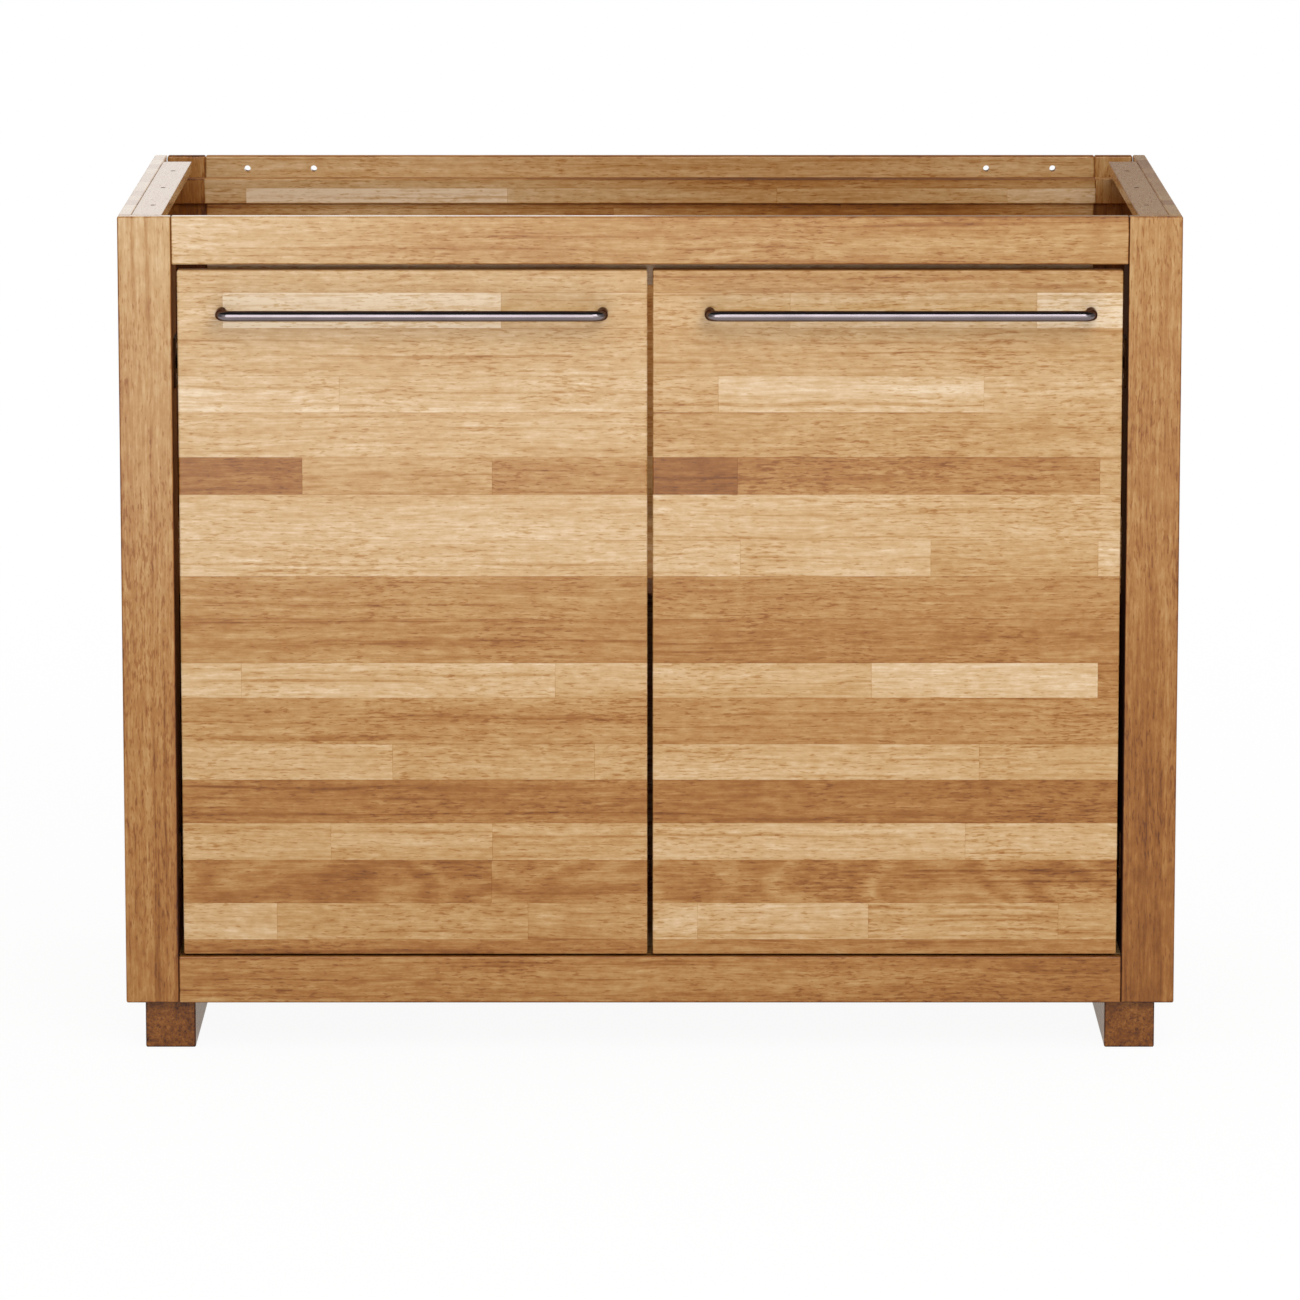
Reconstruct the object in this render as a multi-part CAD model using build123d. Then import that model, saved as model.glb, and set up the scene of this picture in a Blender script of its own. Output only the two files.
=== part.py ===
from build123d import *
from collections import namedtuple
from math import atan2, degrees, hypot, sqrt
import os

# A kitchen base cabinet without a worktop, in solid lacquered wood. A face frame carries two inset
# doors with steel bar handles. The top is open between two worktop battens, and behind the panelled
# back a wall rail leaves a space for pipes. Millimetres, +Z up, the front faces -Y, +X is right.
# The origin lies on the floor below the middle of the whole object, handles included.

# Overall size, without the handles
cabinet_width = 1100.0
cabinet_depth = 600.0
cabinet_height = 880.0

# Rounding of the edges: boards that show, and boards and fittings inside
edge_round = 2.0
arris = 0.8
largest_round = 0.4  # of the thinnest side of a board

# Carcass boards
side_thickness = 14.0
frame_thickness = 14.0
post_width = 55.5
top_rail_height = 50.0
bottom_rail_height = 50.0
floor_thickness = 14.0
bearer_width = 30.0
hinge_post_depth = 60.0

# Foot runners, measured from the outer face of the side and from the face frame
foot_height = 50.0
runner_width = 52.6
runner_inset = 19.4
runner_setback = 10.0

# Worktop battens; the holes are placed from the side panel and from the face frame
batten_width = 31.0
batten_thickness = 12.0
batten_hole = 6.0
batten_hole_inset = 16.5
batten_hole_first = 105.0
batten_hole_pitch = 165.0
batten_hole_count = 3

# Inner back: the rails are grooved for a panel, which laps over the legs of the stiles
back_thickness = 22.0
back_drop = 19.5
back_stile_width = 44.8
back_top_rail_height = 27.0
back_bottom_rail_height = 50.0
panel_thickness = 6.0
panel_recess = 4.0
panel_end_inset = 1.7
panel_lap = 8.0
groove_depth = 8.0
panel_fit = 0.15
panel_play = 0.8

# Rear frame that is screwed to the wall; the holes are placed from each end and the middle of the rail
service_gap = 35.0
wall_rail_thickness = 14.0
wall_rail_height = 30.0
rear_post_width = 42.1
rear_frame_gap = 0.8
wall_hole = 6.8
wall_hole_inset = 46.6
wall_hole_pitch = 73.5
wall_hole_rise = 1.2

# Doors
door_thickness = 20.0
door_gap_side = 5.65
door_gap_top = 6.0
door_gap_bottom = 2.4

# Door stop behind the top rail
stop_rail_height = 36.0
stop_lip_height = 18.0
stop_lip_thickness = 12.0
bumper_diameter = 8.0
bumper_thickness = 1.5
bumper_clearance = 0.3
bumper_inset = 40.0

# Bar handles; the right one sits a little outward of the middle of its door
handle_rod = 11.0
handle_standoff = 31.5
handle_centres = 394.0
handle_bend = 10.0
handle_drop = 43.5
handle_shift_right = 13.0
handle_screw_shank = 4.0
handle_screw_head = 8.0
handle_screw_head_height = 2.4
handle_screw_bite = 12.0

# Shelf on pins in rows of holes
shelf_thickness = 18.0
shelf_setback = 100.0
shelf_back_gap = 10.0
shelf_side_gap = 1.5
shelf_hole = 5.0
shelf_hole_depth = 9.0
shelf_hole_pitch = 32.0
shelf_hole_count = 7
shelf_hole_inset = 45.0
shelf_pin_reach = 9.0
shelf_pin_width = 12.0
shelf_pin_height = 6.0

# Hinges: one upright pin, in a cup sunk in the rear of the door
hinge_from_edge = 12.0
hinge_from_front = 12.0
hinge_from_end = 100.0
pin_diameter = 4.0
pin_running_fit = 0.03
pin_seat_fit = 0.02
eye_diameter = 6.5
cup_diameter = 35.0
cup_offset = 9.5
cup_depth = 12.5
cup_wall = 1.0
cup_floor = 0.8
cup_fit = 0.1
flange_thickness = 1.5
flange_lip = 2.5
wing_length = 62.0
wing_width = 14.0
wing_offset = 6.0
wing_screw_pitch = 48.0
arm_thickness = 2.5
arm_height = 12.0
arm_rise = 5.0
swing_clearance = 4.0
plate_thickness = 2.0
plate_length = 40.0
plate_height = 52.0
plate_screw_pitch = 32.0
plate_corner = 3.0

# Screws and dowels
screw_fit = 0.05
recess_width = 0.9
recess_depth = 1.0
recess_reach = 0.6  # of the head
hinge_screw_shank = 3.5
hinge_screw_head = 6.5
plate_screw_length = 16.0
cup_screw_length = 13.0
runner_screw_shank = 5.0
runner_screw_head = 10.0
runner_screw_length = 60.0
runner_screw_recess = 14.0
runner_screw_inset = 60.0
runner_screw_count = 3
joint_screw_shank = 4.0
joint_screw_head = 8.0
joint_screw_bite = 8.0
bearer_screw_offset = 40.0
stop_screw_inset = 80.0
stop_screw_count = 4
dowel_diameter = 6.0
dowel_fit = 0.05
dowel_end_room = 0.5
dowel_half = 20.0
dowel_shallow = 8.0
dowel_pair_pitch = 24.0
dowel_row_inset = 60.0
dowel_row_count = 3

# Places that follow from the sizes
SIDES = {"left": -1, "right": 1}
handle_reach = handle_standoff + handle_rod / 2
front = (handle_reach - cabinet_depth) / 2
rear = front + cabinet_depth
frame_rear = front + frame_thickness
wall_rail_front = rear - wall_rail_thickness
back_rear = wall_rail_front - service_gap
back_front = back_rear - back_thickness
panel_front = back_front + panel_recess
panel_rear = panel_front + panel_thickness

side_outer = cabinet_width / 2
side_inner = side_outer - side_thickness
post_inner = side_outer - post_width
stile_inner = side_inner - back_stile_width
batten_inner = side_inner - batten_width
bearer_inner = side_inner - bearer_width
runner_outer = side_outer - runner_inset
runner_inner = runner_outer - runner_width
rear_post_outer = side_inner - rear_frame_gap
rear_post_inner = rear_post_outer - rear_post_width
wall_hole_outer = rear_post_inner - wall_hole_inset
door_inner = door_gap_side / 2
door_outer = post_inner - door_gap_side

floor_top = foot_height + bottom_rail_height
floor_bottom = floor_top - floor_thickness
top_rail_bottom = cabinet_height - top_rail_height
batten_bottom = cabinet_height - batten_thickness
wall_rail_bottom = cabinet_height - wall_rail_height
back_top = cabinet_height - back_drop
back_top_rail_bottom = back_top - back_top_rail_height
back_bottom_rail_top = foot_height + back_bottom_rail_height
door_bottom = floor_top + door_gap_bottom
door_top = top_rail_bottom - door_gap_top
door_rear = front + door_thickness

frame_depth = (front, frame_rear)
interior_depth = (frame_rear, back_front)
back_depth = (back_front, back_rear)
wall_rail_depth = (wall_rail_front, rear)
carcass_height = (foot_height, cabinet_height)
wall_rail_level = (wall_rail_bottom + cabinet_height) / 2
wall_hole_level = wall_rail_level + wall_hole_rise

# Shapes that are used again and again


def across(half_width):
    """The limits of a piece that crosses the middle of the cabinet."""
    return (-half_width, half_width)


def outward(side, inner, outer):
    """The limits of a piece on one side, given as distances from the middle."""
    return (inner, outer) if side > 0 else (-outer, -inner)


def spread(low, high, count):
    """Evenly spaced places from low to high."""
    return [low + (high - low) * i / (count - 1) for i in range(count)]


def board(x, y, z, rounding):
    """A straight board between (low, high) limits, with all its edges rounded."""
    limits = (x, y, z)
    size = [high - low for low, high in limits]
    middle = [(low + high) / 2 for low, high in limits]
    solid = Pos(*middle) * Box(*size)
    return fillet(solid.edges(), min(rounding, largest_round * min(size)))


def rod(start, direction, diameter, length):
    """A round bar or hole that leaves start along direction."""
    return Plane(start, z_dir=direction) * Pos(0, 0, length / 2) * Cylinder(diameter / 2, length)


Dowel = namedtuple("Dowel", "start direction length")
Screw = namedtuple("Screw", "head_point outward shank head length")


def dowel_pegs(dowels):
    """Plain beech dowels with chamfered ends."""
    pegs = []
    for dowel in dowels:
        peg = rod(dowel.start, dowel.direction, dowel_diameter, dowel.length)
        pegs.append(chamfer(peg.edges().filter_by(GeomType.CIRCLE), arris))
    return pegs


def dowel_holes(dowels):
    """Drilled holes around dowels, with a little room past both ends."""
    holes = []
    for dowel in dowels:
        start = Vector(*dowel.start) - Vector(*dowel.direction) * dowel_end_room
        length = dowel.length + 2 * dowel_end_room
        holes.append(rod(start, dowel.direction, dowel_diameter + 2 * dowel_fit, length))
    return holes


def turned_screw(screw, fit):
    """A countersunk screw shape below its head plane, made larger by fit."""
    shank = screw.shank / 2 + fit
    head = screw.head / 2 + fit
    depth = screw.length + fit
    taper = (screw.head - screw.shank) / 2
    outline = [(0, 0), (head, 0), (shank, -taper), (shank, screw.shank - depth), (0, -depth)]
    half_section = Plane.XZ * Polygon(*outline, align=None)
    return Plane(screw.head_point, z_dir=screw.outward) * revolve(half_section, axis=Axis.Z)


def screw_bodies(screws):
    """Countersunk screws with a cross recess."""
    bodies = []
    for screw in screws:
        reach = recess_reach * screw.head
        slot = Box(reach, recess_width, 2 * recess_depth) + Box(recess_width, reach, 2 * recess_depth)
        bodies.append(turned_screw(screw, 0) - Plane(screw.head_point, z_dir=screw.outward) * slot)
    return bodies


def screw_holes(screws):
    """Countersunk holes that the screws sit in."""
    return [turned_screw(screw, screw_fit) for screw in screws]


# Dowels in the joints
front_rail_levels = {
    "top": (top_rail_bottom + cabinet_height) / 2,
    "bottom": (foot_height + floor_top) / 2,
}
frame_middle = (front + frame_rear) / 2
back_middle = (back_front + back_rear) / 2
wall_rail_middle = (wall_rail_front + rear) / 2
side_middle = (side_inner + side_outer) / 2
batten_level = (batten_bottom + cabinet_height) / 2
carcass_levels = spread(floor_top + dowel_row_inset, cabinet_height - dowel_row_inset, dowel_row_count)
batten_places = spread(frame_rear + dowel_row_inset, back_front - dowel_row_inset, dowel_row_count)
back_rail_levels = [
    (back_top_rail_bottom + groove_depth + back_top) / 2,
    (foot_height + back_bottom_rail_top - groove_depth) / 2,
]

front_frame_dowels = [
    Dowel((side * (post_inner - dowel_half), frame_middle, level + step), (side, 0, 0), 2 * dowel_half)
    for side in SIDES.values()
    for level in front_rail_levels.values()
    for step in (-dowel_pair_pitch / 2, dowel_pair_pitch / 2)
]
side_dowels = [
    Dowel((side * side_middle, frame_rear - dowel_shallow, level), (0, 1, 0), dowel_shallow + dowel_half)
    for side in SIDES.values()
    for level in carcass_levels
]
batten_dowels = [
    Dowel((side * (side_inner - dowel_shallow), place, batten_level), (side, 0, 0), 2 * dowel_shallow)
    for side in SIDES.values()
    for place in batten_places
]
wall_rail_dowels = [
    Dowel(
        (side * (rear_post_inner - dowel_half), wall_rail_middle, wall_rail_level),
        (side, 0, 0),
        2 * dowel_half,
    )
    for side in SIDES.values()
]
rear_post_dowels = [
    Dowel(
        (side * (rear_post_outer - dowel_half), wall_rail_middle, level),
        (side, 0, 0),
        dowel_half + rear_frame_gap + dowel_shallow,
    )
    for side in SIDES.values()
    for level in carcass_levels
]
back_frame_dowels = [
    Dowel((side * (stile_inner - dowel_half), back_middle, level), (side, 0, 0), 2 * dowel_half)
    for side in SIDES.values()
    for level in back_rail_levels
]

# Screws that hold the runners, the bearers and the stop rail
runner_screw_x = (bearer_inner + runner_outer) / 2
runner_screw_places = spread(
    frame_rear + runner_screw_inset, back_front - runner_screw_inset, runner_screw_count
)
bearer_level = (foot_height + floor_bottom) / 2
stop_rear = door_rear + bumper_thickness + bumper_clearance + stop_lip_thickness
stop_screw_level = top_rail_bottom + stop_rail_height / 2

runner_screws = [
    Screw(
        (side * runner_screw_x, place, runner_screw_recess),
        (0, 0, -1),
        runner_screw_shank,
        runner_screw_head,
        runner_screw_length,
    )
    for side in SIDES.values()
    for place in runner_screw_places
]
bearer_screws = [
    Screw(
        (side * bearer_inner, place + bearer_screw_offset, bearer_level),
        (-side, 0, 0),
        joint_screw_shank,
        joint_screw_head,
        bearer_width + joint_screw_bite,
    )
    for side in SIDES.values()
    for place in runner_screw_places
]
stop_screws = [
    Screw(
        (x, stop_rear, stop_screw_level),
        (0, 1, 0),
        joint_screw_shank,
        joint_screw_head,
        stop_rear - frame_rear + joint_screw_bite,
    )
    for x in spread(stop_screw_inset - post_inner, post_inner - stop_screw_inset, stop_screw_count)
]

# Shelf: the pins sit in the middle hole of each row
shelf_front = front + shelf_setback
shelf_rear = back_front - shelf_back_gap
shelf_rows = (shelf_front + shelf_hole_inset, shelf_rear - shelf_hole_inset)
shelf_pin_level = (floor_top + top_rail_bottom) / 2
shelf_bottom = shelf_pin_level + shelf_pin_height / 2


def shelf_holes(side):
    """Two rows of holes on the inside of one side panel."""
    half_row = (shelf_hole_count - 1) / 2 * shelf_hole_pitch
    levels = spread(shelf_pin_level - half_row, shelf_pin_level + half_row, shelf_hole_count)
    return [
        rod((side * side_inner, y, level), (side, 0, 0), shelf_hole, shelf_hole_depth)
        for y in shelf_rows
        for level in levels
    ]


def shelf_pin(side, y):
    """A peg with a flat block that the shelf lies on."""
    peg = rod(
        (side * side_inner, y, shelf_pin_level),
        (side, 0, 0),
        shelf_hole - 2 * dowel_fit,
        shelf_hole_depth - dowel_end_room,
    )
    block = board(
        outward(side, side_inner - shelf_pin_reach, side_inner),
        (y - shelf_pin_width / 2, y + shelf_pin_width / 2),
        (shelf_pin_level - shelf_pin_height / 2, shelf_bottom),
        arris,
    )
    return peg + block


# Hinge pieces, drawn about the pin: X runs inward across the door, Y to the rear
hinge_x = door_outer - hinge_from_edge
hinge_y = front + hinge_from_front
hinge_levels = (door_bottom + hinge_from_end, door_top - hinge_from_end)
cup_mouth = door_thickness - hinge_from_front
flange_top = cup_mouth + flange_thickness
cup_bottom = cup_mouth - cup_depth
post_face = -(hinge_from_edge + door_gap_side)
plate_face = post_face + plate_thickness
plate_middle = frame_thickness + hinge_post_depth / 2 - hinge_from_front
pin_length = 2 * sqrt((cup_diameter / 2) ** 2 - (cup_offset + pin_diameter / 2) ** 2)

cup_screw_points = [
    (cup_offset + wing_offset, flange_top, level) for level in (-wing_screw_pitch / 2, wing_screw_pitch / 2)
]
plate_screw_points = [
    (plate_face, plate_middle, level) for level in (-plate_screw_pitch / 2, plate_screw_pitch / 2)
]
local_cup_screws = [
    Screw(point, (0, 1, 0), hinge_screw_shank, hinge_screw_head, cup_screw_length)
    for point in cup_screw_points
]
local_plate_screws = [
    Screw(point, (1, 0, 0), hinge_screw_shank, hinge_screw_head, plate_screw_length)
    for point in plate_screw_points
]


def at_hinges(solids, side):
    """Copies of hinge pieces at both hinges of one door, mirrored for the right door."""
    drawn = [solid if side < 0 else mirror(solid, about=Plane.YZ) for solid in solids]
    return [Pos(side * hinge_x, hinge_y, level) * solid for level in hinge_levels for solid in drawn]


def cup_pocket():
    """The round pocket for the cup in the rear of the door."""
    return rod((cup_offset, cup_mouth, 0), (0, -1, 0), cup_diameter + 2 * cup_fit, cup_depth + cup_fit)


def hinge_cup():
    """The pressed cup with its two screw wings; the pin crosses it from wall to wall."""
    centre = (cup_offset, flange_top, 0)
    cup = rod(centre, (0, -1, 0), cup_diameter, flange_top - cup_bottom)
    cup += rod(centre, (0, -1, 0), cup_diameter + 2 * flange_lip, flange_thickness)
    wing_centre = cup_offset + wing_offset
    cup += board(
        (wing_centre - wing_width / 2, wing_centre + wing_width / 2),
        (cup_mouth, flange_top),
        (-wing_length / 2, wing_length / 2),
        arris,
    )
    cup -= rod(centre, (0, -1, 0), cup_diameter - 2 * cup_wall, flange_top - cup_bottom - cup_floor)
    cup -= rod((0, 0, -cup_diameter), (0, 0, 1), pin_diameter + 2 * pin_seat_fit, 2 * cup_diameter)
    return cup - screw_holes(local_cup_screws)


def hinge_pin():
    """The pin, seated in the walls of the cup."""
    return rod((0, 0, -pin_length / 2), (0, 0, 1), pin_diameter, pin_length)


def hinge_arm():
    """The bent arm: from the eye on the pin, out of the cup, round the door's edge to the plate."""
    throw = flange_top + swing_clearance + arm_thickness / 2
    bridge = hypot(hinge_from_edge, flange_top) + swing_clearance + arm_thickness / 2
    foot = plate_face + arm_thickness / 2
    foot_end = plate_middle + plate_length / 2 - arm_thickness
    bends = [(0, 0), (throw, arm_rise), (throw, bridge), (foot, bridge), (foot, foot_end)]
    arm = Cylinder(eye_diameter / 2, arm_height)
    for start, end in zip(bends, bends[1:]):
        run = Vector(*end) - Vector(*start)
        strap = Pos(run.length / 2, 0, 0) * Box(run.length, arm_thickness, arm_height)
        strap += Pos(run.length, 0, 0) * Cylinder(arm_thickness / 2, arm_height)
        arm += Pos(*start) * Rot(0, 0, degrees(atan2(run.Y, run.X))) * strap
    return arm - Cylinder(pin_diameter / 2 + pin_running_fit, 2 * arm_height)


def hinge_plate():
    """The plate on the hinge post that carries the arm."""
    plate = Box(plate_thickness, plate_length, plate_height)
    plate = Pos((post_face + plate_face) / 2, plate_middle, 0) * plate
    plate = fillet(plate.edges().filter_by(Axis.X), plate_corner)
    return plate - screw_holes(local_plate_screws)


# Handles
def handle_legs(name):
    """The two places where a handle meets its door, as X values."""
    side = SIDES[name]
    shift = handle_shift_right if name == "right" else 0.0
    middle = side * (door_inner + door_outer) / 2 + shift
    return (middle - handle_centres / 2, middle + handle_centres / 2)


handle_level = door_top - handle_drop


def handle_screw_holes(name):
    """Holes for the handle screws, through the door and into the legs."""
    depth = door_thickness + handle_screw_bite
    diameter = handle_screw_shank + 2 * screw_fit
    return [rod((x, door_rear, handle_level), (0, -1, 0), diameter, depth) for x in handle_legs(name)]


def handle(name):
    """A round bar bent to two legs that stand on the door."""
    x_low, x_high = handle_legs(name)
    bar = front - handle_standoff
    corners = [(x_low, front), (x_low, bar), (x_high, bar), (x_high, front)]
    path = FilletPolyline(*[(x, y, handle_level) for x, y in corners], radius=handle_bend)
    section = Plane((x_low, front, handle_level), z_dir=(0, -1, 0)) * Circle(handle_rod / 2)
    return sweep(section, path=path) - handle_screw_holes(name)


def handle_screw(x):
    """A flat-headed screw from inside the door into a leg of the handle."""
    seat = (x, door_rear, handle_level)
    depth = door_thickness + handle_screw_bite - dowel_end_room
    head = rod(seat, (0, 1, 0), handle_screw_head, handle_screw_head_height)
    head = fillet(head.edges().group_by(Axis.Y)[-1], arris)
    slot = Box(recess_width, 2 * recess_depth, recess_reach * handle_screw_head)
    slot = Pos(x, door_rear + handle_screw_head_height, handle_level) * slot
    return head + rod(seat, (0, -1, 0), handle_screw_shank, depth) - slot


def door_panel(name):
    """A door: one thick board of glued staves, drilled for its hinges and its handle."""
    side = SIDES[name]
    panel = board(
        outward(side, door_inner, door_outer), (front, door_rear), (door_bottom, door_top), edge_round
    )
    pockets = at_hinges([cup_pocket()] + screw_holes(local_cup_screws), side)
    return panel - pockets - handle_screw_holes(name)


# The boards of each side
def side_panel(side):
    panel = board(outward(side, side_inner, side_outer), (frame_rear, rear), carcass_height, edge_round)
    holes = dowel_holes(side_dowels + batten_dowels + rear_post_dowels) + screw_holes(bearer_screws)
    return panel - holes - shelf_holes(side)


def front_post(side):
    post = board(outward(side, post_inner, side_outer), frame_depth, carcass_height, edge_round)
    return post - dowel_holes(front_frame_dowels + side_dowels)


def hinge_post(side):
    post = board(
        outward(side, post_inner, side_inner),
        (frame_rear, frame_rear + hinge_post_depth),
        (floor_top, batten_bottom),
        arris,
    )
    return post - at_hinges(screw_holes(local_plate_screws), side)


def worktop_batten(side):
    batten = board(
        outward(side, batten_inner, side_inner), interior_depth, (batten_bottom, cabinet_height), arris
    )
    x = side * (side_inner - batten_hole_inset)
    places = [front + batten_hole_first + i * batten_hole_pitch for i in range(batten_hole_count)]
    holes = [rod((x, y, batten_bottom), (0, 0, 1), batten_hole, batten_thickness) for y in places]
    return batten - holes - dowel_holes(batten_dowels)


def rear_post(side):
    post = board(
        outward(side, rear_post_inner, rear_post_outer), wall_rail_depth, carcass_height, edge_round
    )
    return post - dowel_holes(rear_post_dowels + wall_rail_dowels)


def floor_bearer(side):
    bearer = board(
        outward(side, bearer_inner, side_inner), interior_depth, (foot_height, floor_bottom), arris
    )
    return bearer - screw_holes(bearer_screws + runner_screws)


def foot_runner(side):
    runner_depth = (front + runner_setback, rear)
    runner = board(outward(side, runner_inner, runner_outer), runner_depth, (0, foot_height), edge_round)
    recess = runner_screw_head + 2 * screw_fit
    recesses = [
        rod((side * runner_screw_x, place, 0), (0, 0, 1), recess, runner_screw_recess)
        for place in runner_screw_places
    ]
    return runner - recesses - screw_holes(runner_screws)


# The rails and panels that cross the cabinet
def front_rail(z):
    rail = board(across(post_inner), frame_depth, z, edge_round)
    return rail - dowel_holes(front_frame_dowels) - screw_holes(stop_screws)


stop_lip_front = stop_rear - stop_lip_thickness
stop_lip_half = hinge_x - hypot(hinge_from_edge, cup_mouth) - swing_clearance


def door_stop_rail():
    """A rail behind the top rail; its lip hangs behind the doors, clear of their hinge edges."""
    stop_top = top_rail_bottom + stop_rail_height
    upper = board(across(post_inner), (frame_rear, stop_rear), (top_rail_bottom, stop_top), arris)
    lip = board(
        across(stop_lip_half), (stop_lip_front, stop_rear), (door_top - stop_lip_height, stop_top), arris
    )
    return upper + lip - screw_holes(stop_screws)


def bumpers():
    """Soft discs on the lip that the doors close against."""
    level = door_top - stop_lip_height / 2
    places = (door_inner + bumper_inset, stop_lip_half - bumper_inset)
    return [
        rod((side * x, stop_lip_front, level), (0, -1, 0), bumper_diameter, bumper_thickness)
        for side in SIDES.values()
        for x in places
    ]


def wall_rail():
    rail = board(
        across(rear_post_inner), wall_rail_depth, (wall_rail_bottom, cabinet_height), edge_round
    )
    holes = [
        rod((side * x, wall_rail_front, wall_hole_level), (0, 1, 0), wall_hole, wall_rail_thickness)
        for side in SIDES.values()
        for x in (wall_hole_outer, wall_hole_outer - wall_hole_pitch)
    ]
    return rail - holes - dowel_holes(wall_rail_dowels)


panel_bottom = back_bottom_rail_top - groove_depth
panel_top = back_top_rail_bottom + groove_depth
panel_end = stile_inner - panel_end_inset


def panel_groove():
    """The room that the back panel needs in the rails."""
    room = Box(2 * stile_inner, panel_thickness + 2 * panel_fit, panel_top - panel_bottom)
    return Pos(0, (panel_front + panel_rear) / 2, (panel_bottom + panel_top) / 2) * room


def back_panel():
    return board(
        across(panel_end), (panel_front, panel_rear), (panel_bottom, panel_top - panel_play), arris
    )


def back_stile(side):
    """A stile as thick as the rails at its head and foot, with a thinner leg that the panel laps over."""
    width = outward(side, stile_inner, side_inner)
    lap = outward(side, panel_end - panel_lap, stile_inner + panel_lap)
    leg_depth = (panel_rear + panel_fit, back_rear)
    stile = board(width, leg_depth, (foot_height, back_top), arris)
    stile += board(width, back_depth, (back_top_rail_bottom, back_top), arris)
    stile += board(width, back_depth, (foot_height, back_bottom_rail_top), arris)
    stile += board(lap, leg_depth, (back_bottom_rail_top, back_top_rail_bottom), arris)
    return stile - dowel_holes(back_frame_dowels)


def back_rail(z):
    rail = board(across(stile_inner), back_depth, z, arris)
    return rail - panel_groove() - dowel_holes(back_frame_dowels)


def floor_panel():
    return board(across(side_inner), interior_depth, (floor_bottom, floor_top), arris)


def shelf():
    return board(
        across(side_inner - shelf_side_gap),
        (shelf_front, shelf_rear),
        (shelf_bottom, shelf_bottom + shelf_thickness),
        edge_round,
    )


# All the pieces by name
nodes = {
    "front_top_rail": front_rail((top_rail_bottom, cabinet_height)),
    "front_bottom_rail": front_rail((foot_height, floor_top)),
    "front_frame_dowels": dowel_pegs(front_frame_dowels),
    "side_panel_dowels": dowel_pegs(side_dowels),
    "batten_dowels": dowel_pegs(batten_dowels),
    "rear_frame_dowels": dowel_pegs(wall_rail_dowels + rear_post_dowels),
    "back_frame_dowels": dowel_pegs(back_frame_dowels),
    "door_stop_rail": door_stop_rail(),
    "door_stop_screws": screw_bodies(stop_screws),
    "door_bumpers": bumpers(),
    "wall_rail": wall_rail(),
    "back_top_rail": back_rail((back_top_rail_bottom, back_top)),
    "back_bottom_rail": back_rail((foot_height, back_bottom_rail_top)),
    "back_panel": back_panel(),
    "floor_panel": floor_panel(),
    "runner_screws": screw_bodies(runner_screws),
    "bearer_screws": screw_bodies(bearer_screws),
    "shelf": shelf(),
    "shelf_pins": [shelf_pin(side, y) for side in SIDES.values() for y in shelf_rows],
}
for name, side in SIDES.items():
    nodes[f"side_panel_{name}"] = side_panel(side)
    nodes[f"front_post_{name}"] = front_post(side)
    nodes[f"hinge_post_{name}"] = hinge_post(side)
    nodes[f"worktop_batten_{name}"] = worktop_batten(side)
    nodes[f"rear_post_{name}"] = rear_post(side)
    nodes[f"back_stile_{name}"] = back_stile(side)
    nodes[f"floor_bearer_{name}"] = floor_bearer(side)
    nodes[f"foot_runner_{name}"] = foot_runner(side)
    nodes[f"hinge_plates_{name}"] = at_hinges([hinge_plate()], side)
    nodes[f"hinge_arms_{name}"] = at_hinges([hinge_arm()], side)
    nodes[f"hinge_plate_screws_{name}"] = at_hinges(screw_bodies(local_plate_screws), side)
    nodes[f"door_panel_{name}"] = door_panel(name)
    nodes[f"hinge_cups_{name}"] = at_hinges([hinge_cup()], side)
    nodes[f"hinge_pins_{name}"] = at_hinges([hinge_pin()], side)
    nodes[f"hinge_cup_screws_{name}"] = at_hinges(screw_bodies(local_cup_screws), side)
    nodes[f"handle_{name}"] = handle(name)
    nodes[f"handle_screws_{name}"] = [handle_screw(x) for x in handle_legs(name)]

os.makedirs("parts", exist_ok=True)
for name, shape in nodes.items():
    solids = shape if isinstance(shape, list) else [shape]
    export_step(Compound([solid for piece in solids for solid in piece.solids()]), f"parts/{name}.step")
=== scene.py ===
import math
from collections import namedtuple

import bpy
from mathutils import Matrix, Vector


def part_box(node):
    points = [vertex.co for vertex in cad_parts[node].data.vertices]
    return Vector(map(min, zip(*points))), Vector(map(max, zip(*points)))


# A kitchen base cabinet in lacquered stave wood: the finish of every piece, the studio and the camera.
# Metres, +Z up, the front faces -Y. A board's texture follows its own place in the cabinet, so grain
# and staves run through the wood and move with the doors.

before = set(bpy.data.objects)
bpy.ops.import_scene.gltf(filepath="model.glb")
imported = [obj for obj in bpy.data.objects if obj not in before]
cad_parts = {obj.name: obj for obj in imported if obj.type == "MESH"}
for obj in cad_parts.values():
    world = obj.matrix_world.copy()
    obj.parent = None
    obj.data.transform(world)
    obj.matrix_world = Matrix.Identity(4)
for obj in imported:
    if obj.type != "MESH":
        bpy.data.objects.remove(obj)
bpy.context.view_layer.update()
MM = 0.001


# Node trees


def srgb(red, green, blue):
    """A colour given in display values from 0 to 255, as the shader reads it."""
    channels = [value / 255 for value in (red, green, blue)]
    linear = [c / 12.92 if c <= 0.04045 else ((c + 0.055) / 1.055) ** 2.4 for c in channels]
    return (*linear, 1.0)


# Sockets of a mix node that hold its two colours and the mixed one

MIX_FIRST, MIX_SECOND, MIX_RESULT = 6, 7, 2


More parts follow.
